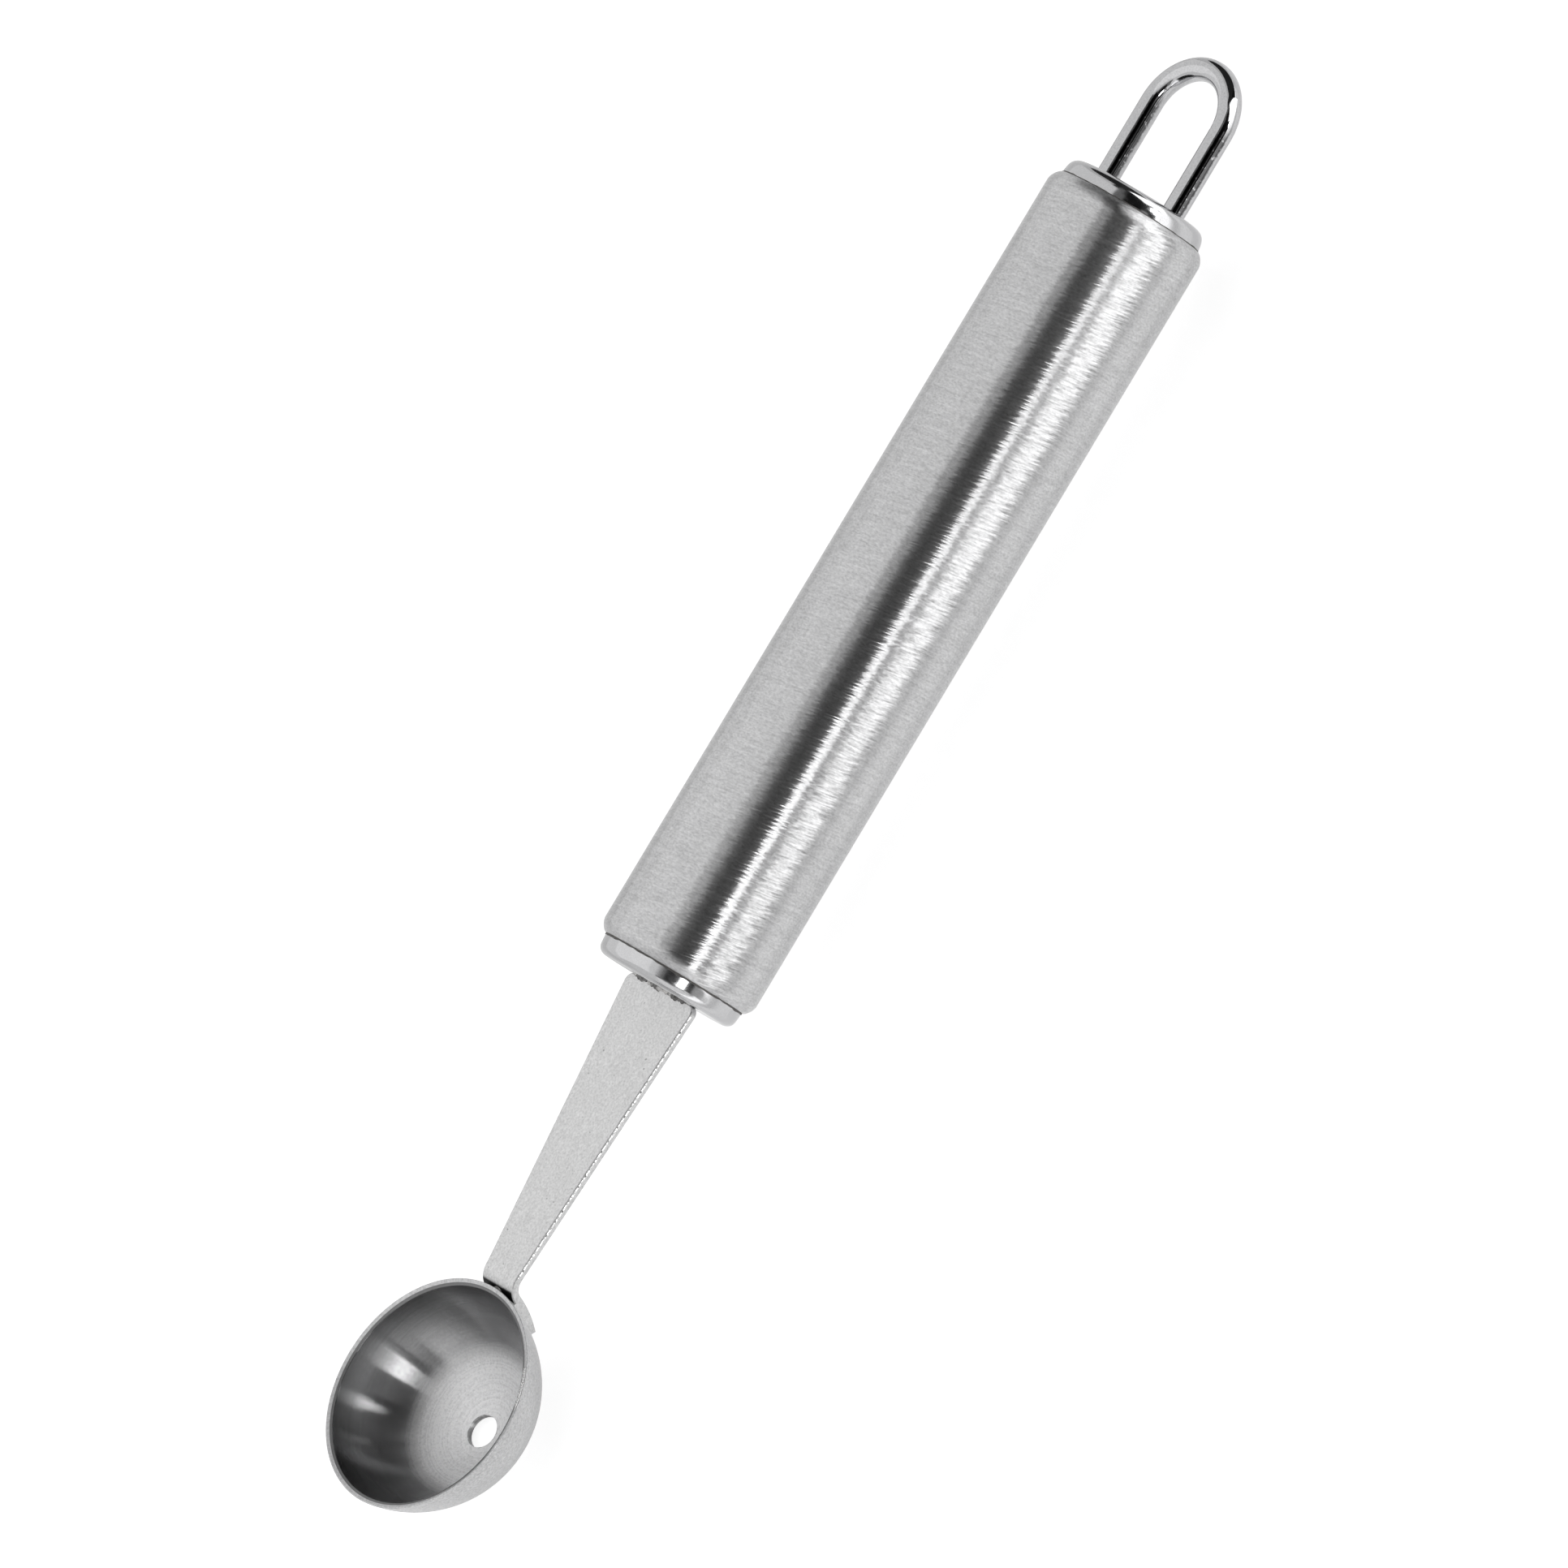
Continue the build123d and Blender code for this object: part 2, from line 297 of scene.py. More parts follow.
def tubeOutline():
    length, depth, lip = tube["roll length"], tube["roll depth"], tube["lip rounding"]
    lipBack, lipOut = tube["lip start"]
    start = radians(tube["roll crease"])
    sweep = 2 * atan(depth / length) - start
    rollRadius = length / (sin(sweep) - sin(start))
    outline = []
    for end, side in ((tubeFront, -1), (tubeRear, 1)):
        half = [(end - side * (length + lip), tube["radius"])]
        for step in range(tube["roll steps"] + 1):
            angle = start + (sweep - start) * step / tube["roll steps"]
            along = length - rollRadius * (sin(angle) - sin(start))
            drop = rollRadius * (cos(start) - cos(angle))
            half.append((end - side * along, tube["radius"] - drop))
        half[-1] = (end - side * lip * lipBack, half[-1][1] + lip * lipOut)
        half.append((end, tube["radius"] - depth - lip * tube["lip drop"]))
        half.append((end, tube["bore"]))
        outline += half if side > 0 else half[::-1]
    begin, steps = length + lip, tube["straight steps"]
    reach = tubeRear - tubeFront - 2 * begin
    straight = [(tubeFront + begin + reach * step / steps, tube["radius"])
                for step in range(1, steps)]
    middle = len(outline) // 2
    return outline[:middle] + straight + outline[middle:]


def brushedTube():
    finish = Steel("steel_brushed_round")
    place = finish.place
    around = finish.vector("DOT_PRODUCT", place, tube["brushed towards"], out="Value")
    lean = finish.node("CombineXYZ", None, {2: around * -tube["brush slope"]})
    leaned = finish.vector("ADD", place, lean)
    hairs = finish.grain(leaned, *tube["hairs"])
    lines = finish.grain(leaned, *tube["lines"])
    clouds = finish.grain(place, *tube["clouds"])
    speck = finish.grain(place, *tube["speck"])
    jags = finish.grain(leaned, *tube["jags"])
    coarseEnds = finish.between(around, *tube["coarse to"], 1.0, tube["coarse past it"])
    coarse = finish.between(around, *tube["coarse from"]) * coarseEnds
    level = 0.23 + hairs * 0.44 + lines * 0.20 + clouds * 0.10 + speck * 0.78
    level = level + (jags - 0.5) * coarse * 1.25
    roughness = tube["roughness"] + (hairs - 0.5) * 0.02
    height = (jags + hairs * 0.3 - 0.65) * (0.45 + coarse * 0.55)
    normal = finish.eased(finish.bump(height, *tube["bump"]), tube["tilt kept along"])
    colour = finish.shade(tube["steel"], level)
    return finish.put(finish.metal(colour, roughness, normal, tube["brushing"]))


tubeForm = tubeOutline()
handleTube = turnedPiece("handle_tube_brushed", lambda angle: tubeForm, tube["segments"])
handleTube.data.materials.append(brushedTube())
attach(handleTube, "root")
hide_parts("handle_tube")
print("tube made")


# the two drawn caps, polished; their sides are slightly full
cap = {
    "radius": 8.95 * mm,
    "wall": 1.0 * mm,
    "skirt": 6.0 * mm,
    "side share": 0.56,     # of what stands out of the tube, the rest is the rounded edge
    "side lean": {          # degrees, at the tube and at the rounded edge
        "front_cap": (2.0, 6.5),
        "rear_cap": (1.5, 16.0),
    },
    "side steps": 8,
    "edge steps": 10,
    "segments": 192,
    "steel": (0.66, 0.66, 0.67),
    "roughness": 0.1,
    "smudges": ((500, 500, 500), 3.0, 0.55),
    "scratches": ((420, 420, 5200), 2.0, 0.5),
    "speck": ((5200, 5200, 5200), 2.0, 0.6),
    "dull from": (0.45, 0.75),      # of the smudges' noise, from faintly to fully
    "bump": (0.006 * mm, 0.5),
}


def capOutline(tubeEnd, face, sideLean):
    outward = 1 if face > tubeEnd else -1
    standOut = abs(face - tubeEnd)
    first, last = (radians(lean) for lean in sideLean)
    sideLength = cap["side share"] * standOut
    sideRadius = sideLength / (sin(last) - sin(first))
    edgeRadius = (standOut - sideLength) / (1 - sin(last))
    points = [(0, cap["radius"])]
    for step in range(1, cap["side steps"] + 1):
        lean = first + (last - first) * step / cap["side steps"]
        along = sideRadius * (sin(lean) - sin(first))
        points.append((along, cap["radius"] - sideRadius * (cos(first) - cos(lean))))
    edgeAlong, edgeAcross = points[-1]
    for step in range(1, cap["edge steps"] + 1):
        lean = last + (pi / 2 - last) * step / cap["edge steps"]
        along = edgeAlong + edgeRadius * (sin(lean) - sin(last))
        points.append((along, edgeAcross - edgeRadius * (cos(last) - cos(lean))))
    bore, inside = cap["radius"] - cap["wall"], standOut - cap["wall"]
    points += [(standOut, 0), (inside, 0), (inside, bore)]
    points += [(-cap["skirt"], bore), (-cap["skirt"], cap["radius"])]
    outline = [(tubeEnd + outward * along, radius) for along, radius in points]
    return outline if outward > 0 else outline[::-1]


def polishedCap():
    finish = Steel("steel_polished_cap")
    smudges = finish.grain(finish.place, *cap["smudges"])
    scratches = finish.grain(finish.place, *cap["scratches"])
    speck = finish.grain(finish.place, *cap["speck"])
    colour = finish.shade(cap["steel"], 0.80 + smudges * 0.12 + speck * 0.24)
    dulled = finish.between(smudges, *cap["dull from"])
    roughness = cap["roughness"] + dulled * 0.08 + scratches * 0.04
    normal = finish.bump(smudges + scratches * 0.3, *cap["bump"])
    return finish.put(finish.metal(colour, roughness, normal))


def closeEnd(name, tubeEnd, face, steel):
    capForm = capOutline(tubeEnd, face, cap["side lean"][name])
    drawnCap = turnedPiece(name + "_drawn", lambda angle: capForm, cap["segments"])
    drawnCap.data.materials.append(steel)
    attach(drawnCap, "root")
    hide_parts(name)


capSteel = polishedCap()
closeEnd("front_cap", tubeFront, frontFace, capSteel)
closeEnd("rear_cap", tubeRear, rearFace, capSteel)
print("caps made")


# painted shadow: a dark, uneven ring laid in the gap where each cap leaves the tube
seam = {
    "line width": 0.22 * mm,
    "unevenness": 0.10 * mm,
    "sunk": 0.1 * mm,           # into the tube's end
    "rear share": 0.6,          # of the front line's width
    "inner radius": 8.8 * mm,
    "outer radius": 9.0 * mm,
    "waves": ((5, 0.4, 0.3), (11, 2.1, 0.25), (23, 4.0, 0.25), (41, 1.3, 0.2)),
    "segments": 360,
    "steel": (0.16, 0.155, 0.15),
    "roughness": 0.5,
    "crumbs": ((2600, 2600, 2600), 3.0, 0.6),
    "bump": (0.06 * mm, 0.8),
}


# painted shadow: the dark finish of the rings laid in the caps' gaps
def paintedSeamShadow():
    finish = Steel("seam_shadow_dark")
    crumbs = finish.grain(finish.place, *seam["crumbs"])
    colour = finish.shade(seam["steel"], 0.4 + crumbs * 1.2)
    normal = finish.bump(crumbs, *seam["bump"])
    return finish.put(finish.metal(colour, seam["roughness"] + crumbs * 0.2, normal))


def seamLine(name, tubeEnd, outward, share, steel):
    def outlineAt(angle):
        width = seam["line width"] + seam["unevenness"] * uneven(angle, seam["waves"])
        ends = (tubeEnd - outward * seam["sunk"], tubeEnd + outward * share * width)
        low, high = min(ends), max(ends)
        inner, outer = seam["inner radius"], seam["outer radius"]
        return [(low, inner), (low, outer), (high, outer), (high, inner)]
    line = turnedPiece(name, outlineAt, seam["segments"])
    line.data.materials.append(steel)
    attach(line, "root")


seamShadowFinish = paintedSeamShadow()
seamLine("front_seam_shadow", tubeFront, -1, 1.0, seamShadowFinish)
seamLine("rear_seam_shadow", tubeRear, 1, seam["rear share"], seamShadowFinish)
print("seam lines made")


# the hanging loop: drawn wire, polished before it was bent
wireLook = {
    "radius": 1.4 * mm,
    "leg offset": 6.15 * mm,
    "legs end": 87.6 * mm,
    "steel": (0.64, 0.64, 0.65),
    "roughness": 0.06,
    "drawn": ((300, 3600, 3600), 2.0, 0.5),
    "mottle": ((1500, 1500, 1500), 3.0, 0.6),
    "speck": ((5200, 5200, 5200), 2.0, 0.6),
    "shade gaps": ((2600, 2600, 2600), 1.0, 0.5),
    "paintedShadeBand": 0.88,                       # painted shade: how dark the band painted down one side of each leg is
    "painted shade side": (0, -0.695, -0.719),   # the side of each leg on which it is painted
    "painted shade from": (-0.3, -0.12),         # in wire radii towards that side
    "painted shade to": (0.6, 0.76),
    "painted shade fades": (-1 * mm, 2 * mm),    # along the handle, from the legs' end
    "painted shade thins": (-0.1, 0.7, 0.0, 0.08),   # from and to, in wire radii, and by how much at each
    "shade gaps from": (0.6, 0.7),            # of the noise that breaks up the painted shade
    "dull from": (0.5, 0.8),            # of the mottle's noise
    "bump": (0.01 * mm, 0.5),
}


def polishedWire():
    finish = Steel("steel_polished_wire")
    drawn = finish.grain(finish.place, *wireLook["drawn"])
    mottle = finish.grain(finish.place, *wireLook["mottle"])
    speck = finish.grain(finish.place, *wireLook["speck"])
    spots = finish.grain(finish.place, *wireLook["shade gaps"])
    along, across = (finish.coordinate(finish.place, axis) for axis in ("X", "Y"))
    legOffset = finish.maths("SIGN", across) * wireLook["leg offset"]
    legMiddle = finish.node("CombineXYZ", None, {1: legOffset, 2: axisHeight})
    fromLeg = finish.vector("SUBTRACT", finish.place, legMiddle)
    # painted shade: a dark, mottled band painted down one side of each leg, for a dark reflection
    under = finish.vector("DOT_PRODUCT", fromLeg, wireLook["painted shade side"], out="Value")
    under = under / wireLook["radius"] + (mottle - 0.5) * 0.25
    paintedShadeBand = finish.between(under, *wireLook["painted shade from"])
    paintedShadeBand = paintedShadeBand * finish.between(under, *wireLook["painted shade to"], 1.0, 0.0)
    fades = (wireLook["legs end"] + shift for shift in wireLook["painted shade fades"])
    paintedShadeBand = paintedShadeBand * finish.between(along, *fades, 1.0, 0.0)
    shadeGaps = finish.between(spots, *wireLook["shade gaps from"])
    thinned = finish.between(under, *wireLook["painted shade thins"])
    paintedShadeBand = paintedShadeBand * (wireLook["paintedShadeBand"] - thinned - shadeGaps * 0.4)
    level = (0.72 + mottle * 0.14 + speck * 0.4) * (1.0 - paintedShadeBand)
    colour = finish.shade(wireLook["steel"], level)
    dulled = finish.between(mottle, *wireLook["dull from"])
    roughness = wireLook["roughness"] + (drawn - 0.5) * 0.08 + dulled * 0.08
    normal = finish.bump(mottle + drawn * 0.4, *wireLook["bump"])
    return finish.put(finish.metal(colour, roughness, normal))


wear("hanging_loop", polishedWire())
print("loop dressed")


# the strip from the handle to the bowl: matt, with fine grain
stripLook = {
    "steel": (0.71, 0.71, 0.71),
    "roughness": 0.4,
    "grain": ((3300, 3300, 3300), 2.0, 0.7),
    "patches": ((420, 420, 420), 2.0, 0.5),
    "pits": ((1900, 1900, 1900), 1.0, 0.5),
    "pits from": (0.73, 0.79),                      # of their noise
    "bump": (0.012 * mm, 0.6),
    "painted crease shade": 0.92,                                # painted shade: how much darker the crease between fold and bowl is painted
    "painted crease shade from": (-66.3 * mm, -66.05 * mm),      # along the handle
    "painted crease shade to": (-67.2 * mm, -66.9 * mm),
    "painted crease shade sides": (2.6 * mm, 2.75 * mm),         # across it, both ways
}


def mattStrip():
    finish = Steel("steel_matt_strip")
    grain = finish.grain(finish.place, *stripLook["grain"])
    patches = finish.grain(finish.place, *stripLook["patches"])
    pitted = finish.grain(finish.place, *stripLook["pits"])
    pits = finish.between(pitted, *stripLook["pits from"])
    along, across = (finish.coordinate(finish.place, axis) for axis in ("X", "Y"))
    fromMiddle = finish.maths("ABSOLUTE", across)
    # painted shade: the crease between the fold and the bowl is painted dark
    paintedCreaseShade = finish.between(along, *stripLook["painted crease shade from"], 1.0, 0.0)
    paintedCreaseShade = paintedCreaseShade * finish.between(along, *stripLook["painted crease shade to"])
    paintedCreaseShade = paintedCreaseShade * finish.between(fromMiddle, *stripLook["painted crease shade sides"], 1.0, 0.0)
    level = 0.52 + grain * 0.84 + patches * 0.10 - pits * 0.4
    colour = finish.shade(stripLook["steel"], level * (1.0 - paintedCreaseShade * stripLook["painted crease shade"]))
    roughness = stripLook["roughness"] + (grain - 0.5) * 0.16
    normal = finish.bump(grain - pits * 1.5, *stripLook["bump"])
    return finish.put(finish.metal(colour, roughness, normal))


wear("shank", mattStrip())
print("shank dressed")


# the bowl: spun with rings inside, satin outside and on the lip
bowl = {
    "middle": Vector((-80.740, 0, 14.411)) * mm,    # of the ball that it is part of
    "wall radius": (14.411 - 0.375) * mm,           # to the middle of the wall
    "inside from": (-0.1 * mm, -0.05 * mm),         # from the wall's middle
    "wall steel": (0.46, 0.46, 0.465),
    "wall roughness": (0.22, 0.25),     # at the floor and at the rim
    "wall heights": (-0.62, 0.1),       # of the two, in wall radii above the ball's middle
    "wall brushing": 1.0,
    "wall bump": (0.004 * mm, 0.5),
    "painted rim shade": 0.42,                  # painted shade: what the wall near the rim keeps of its lightness
    "painted rim shade heights": (-0.42, -0.15),
    # painted light: the satin floor's steel is painted far lighter than the wall's, brightening the
    # bowl's floor
    "floor steel": (0.93, 0.93, 0.935),
    "floor roughness": 0.55,
    "floor edge": (32.0, 46.0),         # degrees from the lowest point, where its satin ends
    "floor bump": (0.008 * mm, 0.6),
    "outside steel": (0.60, 0.60, 0.605),
    "outside roughness": 0.34,
    "outside bump": (0.006 * mm, 0.5),
    "grooves": (5200, 2.0),             # rings per metre, detail
    "bands": (1500, 1.0),
    "speck": ((3300, 3300, 3300), 2.0, 0.7),
    "vent": Vector((-81.30, 0.65, 0)) * mm,
    "vent radius": 2.025 * mm,
    "vent edge": (-0.02 * mm, 0.06 * mm),
    "painted vent shade": 0.6,                  # painted shade: what the steel at the hole's edge loses of its lightness
    "vent raggedness": 0.3 * mm,
    "vent burrs": ((900, 900, 900), 2.0, 0.6),
}


def bowlSteel():
    finish = Steel("steel_spun_bowl")
    radius = bowl["wall radius"]
    fromMiddle = finish.vector("SUBTRACT", finish.place, bowl["middle"])
    reach = finish.vector("LENGTH", fromMiddle, out="Value")
    height = finish.coordinate(fromMiddle, "Z")
    flattened = finish.vector("MULTIPLY", fromMiddle, (1, 1, 0))
    ring = finish.vector("LENGTH", flattened, out="Value")
    insideFrom = (radius + shift for shift in bowl["inside from"])
    inside = finish.between(reach, *insideFrom, 1.0, 0.0)

    def ringed(perMetre, detail):
        place = finish.node("CombineXYZ", None, {0: ring * perMetre, 1: height * perMetre, 2: 0.0})
        return finish.node("TexNoise", None, {"Vector": place, "Scale": 1.0, "Detail": detail})

    grooves, bands = ringed(*bowl["grooves"]), ringed(*bowl["bands"])
    speck = finish.grain(finish.place, *bowl["speck"])

    # painted shade: a dark, ragged ring round the vent hole, on the floor and outside, for its
    # shaded wall
    fromVent = finish.vector("SUBTRACT", finish.place, bowl["vent"])
    flatFromVent = finish.vector("MULTIPLY", fromVent, (1, 1, 0))
    ventReach = finish.vector("LENGTH", flatFromVent, out="Value")
    burrs = finish.grain(finish.place, *bowl["vent burrs"])
    ventEdge = ventReach - bowl["vent radius"] - (burrs - 0.5) * bowl["vent raggedness"]
    paintedVentShade = 1.0 - finish.between(ventEdge, *bowl["vent edge"], bowl["painted vent shade"], 0.0)

    # painted shade: the wall is painted darker towards the rim
    rimHeights = (share * radius for share in bowl["painted rim shade heights"])
    paintedRimShade = finish.between(height, *rimHeights, 1.0, bowl["painted rim shade"])
    wallLevel = (0.64 + grooves * 0.2 + bands * 0.12 + speck * 0.4) * paintedRimShade
    wallHeights = (share * radius for share in bowl["wall heights"])
    wallRough = finish.between(height, *wallHeights, *bowl["wall roughness"])
    wall = finish.metal(
        finish.shade(bowl["wall steel"], wallLevel),
        wallRough + (grooves - 0.5) * 0.02,
        finish.bump(grooves + bands, *bowl["wall bump"]),
        bowl["wall brushing"],
    )

    # painted light: the satin floor is lighter than the wall; its satin roughness is real
    floorLevel = (0.43 + grooves * 0.42 + bands * 0.12 + speck * 0.6) * paintedVentShade
    satinFloor = finish.metal(
        finish.shade(bowl["floor steel"], floorLevel),
        bowl["floor roughness"] + (grooves - 0.5) * 0.12,
        finish.bump(grooves + bands * 2.0, *bowl["floor bump"]),
    )
    outwards = ring / (reach + 1e-9)    # never divided by nothing
    edges = (sin(radians(angle)) for angle in bowl["floor edge"])
    upTheWall = finish.between(outwards + (bands - 0.5) * 0.05, *edges)
    spun = finish.node("MixShader", None, {0: upTheWall, 1: satinFloor, 2: wall})

    satinOutside = finish.metal(
        finish.shade(bowl["outside steel"], (0.5 + speck * 1.0) * paintedVentShade),
        bowl["outside roughness"] + (speck - 0.5) * 0.1,
        finish.bump(speck, *bowl["outside bump"]),
    )
    return finish.put(finish.node("MixShader", None, {0: inside, 1: satinOutside, 2: spun}))


wear("scoop", bowlSteel())
print("bowl dressed")


# welds and bonds: dull, with patches darkened by heat
weldLook = {
    "steel": (0.66, 0.65, 0.64),
    "roughness": 0.38,
    "grain": ((2600, 2600, 2600), 3.0, 0.6),
    "scorch": ((700, 700, 700), 2.0, 0.6),
    "scorched from": (0.37, 0.5),   # of its noise
    "bump": (0.05 * mm, 0.7),
}


def weldSteel():
    finish = Steel("steel_weld")
    grain = finish.grain(finish.place, *weldLook["grain"])
    heat = finish.grain(finish.place, *weldLook["scorch"])
    scorch = finish.between(heat, *weldLook["scorched from"])
    colour = finish.shade(weldLook["steel"], 0.7 + grain * 0.6 - scorch * 0.72)
    normal = finish.bump(grain, *weldLook["bump"])
    return finish.put(finish.metal(colour, weldLook["roughness"] + grain * 0.2, normal))


weld = weldSteel()
for weldName in ("scoop_spot_welds", "front_cap_bond", "rear_cap_bond", "hanging_loop_welds"):
    wear(weldName, weld)
print("welds dressed")


# the weld of the strip to the front cap: a low, uneven fillet above and below the strip
fillet = {
    "half span": 5.3 * mm,
    "strip top": 13.172 * mm,
    "strip thickness": 1.0 * mm,
    "sunk": 0.1 * mm,       # into the strip and the cap
    "leg": 0.30 * mm,
    "unevenness": 0.22 * mm,
    "least leg": 0.06 * mm,
    "end slope": 9,         # it reaches its full leg after a ninth of its span
    "waves": ((3, 0.2, 0.35), (7, 1.9, 0.35), (17, 3.0, 0.3)),
    "steps": 150,
    "round steps": 6,
}


def weldFillet():
    corners, faces = [], []
    steps, roundSteps, slope = fillet["steps"], fillet["round steps"], fillet["end slope"]
    top, bottom = fillet["strip top"], fillet["strip top"] - fillet["strip thickness"]
    for side, level in ((1, top), (-1, bottom)):
        faces += bridged(steps + 1, roundSteps + 2, len(corners))
        for step in range(steps + 1):
            share = step / steps
            wave = uneven(2 * pi * share + side, fillet["waves"])
            leg = fillet["leg"] + fillet["unevenness"] * wave
            leg = max(leg * min(1, slope * share, slope * (1 - share)), fillet["least leg"])
            across = fillet["half span"] * (2 * share - 1)
            corners.append((frontFace + fillet["sunk"], across, level - side * fillet["sunk"]))
            for part in range(roundSteps + 1):
                angle = pi / 2 * part / roundSteps
                along, height = frontFace - leg * sin(angle), level + side * leg * cos(angle)
                corners.append((along, across, height))
    return meshPiece("shank_weld_fillet", corners, faces)


weldPiece = weldFillet()
weldPiece.data.materials.append(weld)
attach(weldPiece, "root")
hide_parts("shank_weld_bead")
print("strip's weld made")


# the burr left by the press along the strip's edges, rubbed bright
burr = {
    "at the fold": (-64.4 * mm, 2.854 * mm, 12.039 * mm),
    "at the cap": (-29.0 * mm, 6.145 * mm, 13.137 * mm),
    "edge break": 0.12 * mm,
    "below the break": 0.01 * mm,
    "sunk": 0.03 * mm,
    "stand out": 0.045 * mm,
    "unevenness": 0.045 * mm,
    "lip": 0.03 * mm,
    "back": 0.42 * mm,
    "facing": 54.0,             # degrees from upright
    "facing spread": 12.0,
    "facing waves": (1.7, 1),   # how its waves differ from the stand out's, pace and shift
    "waves": ((13, 0.3, 0.3), (31, 2.0, 0.3), (57, 4.4, 0.25), (101, 1.1, 0.15)),
    "steps": 700,
    "steel": (0.82, 0.82, 0.82),
    "roughness": 0.14,
    "nicks": ((2600, 2600, 2600), 2.0, 0.6),
    "bump": (0.01 * mm, 0.6),
}


def edgeBurr(name, side):
    corners = []
    foldSpot, capSpot = Vector(burr["at the fold"]), Vector(burr["at the cap"])
    sunk, (pace, shift) = burr["sunk"], burr["facing waves"]
    for step in range(burr["steps"] + 1):
        share = step / burr["steps"]
        spot = foldSpot.lerp(capSpot, share)
        turn = 2 * pi * share
        standOut = burr["stand out"] + burr["unevenness"] * uneven(turn, burr["waves"])
        swing = burr["facing spread"] * uneven(turn * pace + shift, burr["waves"])
        facing = radians(burr["facing"] + swing)
        upper = spot.z - burr["edge break"] + burr["below the break"]
        lower = upper - (standOut + sunk) * sin(facing) / cos(facing)
        outline = ((-sunk, upper), (standOut, lower),
                   (standOut, lower - burr["lip"]), (-sunk, upper - burr["back"]))
        corners += [(spot.x, side * (spot.y + out), height) for out, height in outline]
    return meshPiece(name, corners, bridged(burr["steps"] + 1, len(outline)))


def burrSteel():
    finish = Steel("steel_rubbed_edge")
    nicks = finish.grain(finish.place, *burr["nicks"])
    colour = finish.shade(burr["steel"], 0.7 + nicks * 0.6)
    normal = finish.bump(nicks, *burr["bump"])
    return finish.put(finish.metal(colour, burr["roughness"] + nicks * 0.12, normal))


rubbedEdge = burrSteel()
for edgeName, edgeSide in (("shank_edge_front", -1), ("shank_edge_back", 1)):
    edge = edgeBurr(edgeName, edgeSide)
    edge.data.materials.append(rubbedEdge)
    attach(edge, "root")
print("strip's edges made")


# a stretch of the bowl's rim where the grinding left a bright, uneven bead
rimBead = {
    "middle": Vector((-80.821, 0, 12.402)) * mm,
    "tilt": 2.3,                # degrees, the rim's
    "rim radius": 14.03 * mm,
    "sunk": 0.05 * mm,
    "round": (-76.0, -52.0),    # degrees about the rim, from the handle's side
    "radius": 0.14 * mm,
    "unevenness": 0.06 * mm,
    "least radius": 0.03 * mm,
    "end slope": 6,             # it is full after a sixth of its length
    "waves": ((9, 0.6, 0.3), (19, 2.4, 0.35), (37, 4.1, 0.35)),
    "steps": 160,
    "sides": 10,
}


def brightBead():
    corners = []
    startTurn, endTurn = rimBead["round"]
    lean = Matrix.Rotation(radians(rimBead["tilt"]), 3, "Y")
    steps, sides, slope = rimBead["steps"], rimBead["sides"], rimBead["end slope"]
    for step in range(steps + 1):
        share = step / steps
        turn = radians(startTurn + (endTurn - startTurn) * share)
        wave = uneven(2 * pi * share, rimBead["waves"])
        radius = rimBead["radius"] + rimBead["unevenness"] * wave
        radius = max(radius * min(1, slope * share, slope * (1 - share)), rimBead["least radius"])
        for part in range(sides):
            angle = 2 * pi * part / sides
            out = rimBead["rim radius"] + radius * cos(angle)
            spot = Vector((out * cos(turn), out * sin(turn), radius * sin(angle) - rimBead["sunk"]))
            corners.append(rimBead["middle"] + lean @ spot)
    return meshPiece("scoop_rim_bead", corners, bridged(steps + 1, sides))


bead = brightBead()
bead.data.materials.append(rubbedEdge)
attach(bead, "root")
print("rim's bead made")


